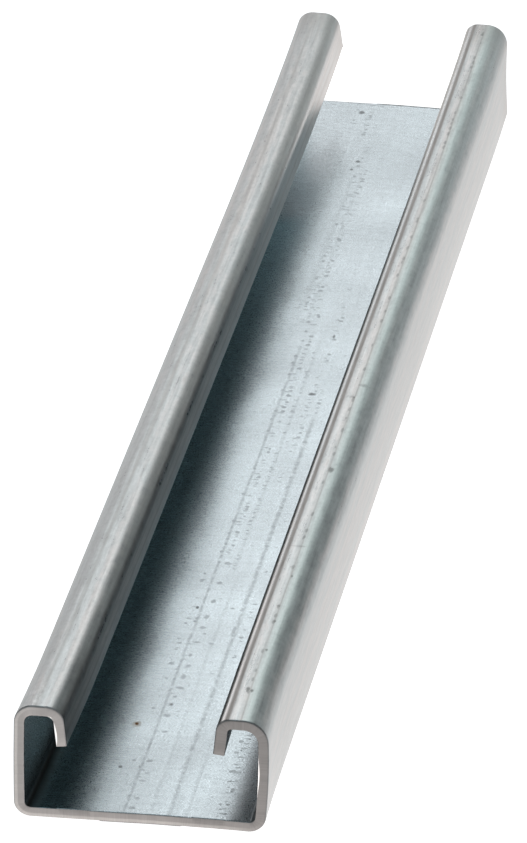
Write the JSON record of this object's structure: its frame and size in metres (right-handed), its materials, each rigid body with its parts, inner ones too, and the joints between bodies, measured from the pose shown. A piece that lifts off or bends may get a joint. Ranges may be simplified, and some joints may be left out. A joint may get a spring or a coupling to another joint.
{
  "type": "strut channel",
  "caption": "Shallow galvanised strut channel: a roll-formed C section, solid web, open slot between in-turned lips for channel nuts and clamps.",
  "frame": {"origin": "centre of the web's underside, where the channel rests on a floor or a wall", "axes": "+X across the channel, +Y along its length, +Z from the web up through the slot"},
  "size_m": [0.0412, 0.3, 0.0206],
  "materials": {
    "galvanised_steel": "galvanised sheet, satin and faintly streaked along its length, with bare sheared ends"
  },
  "bodies": {
    "root": {"strut_channel": "galvanised_steel"}
  },
  "joints": []
}
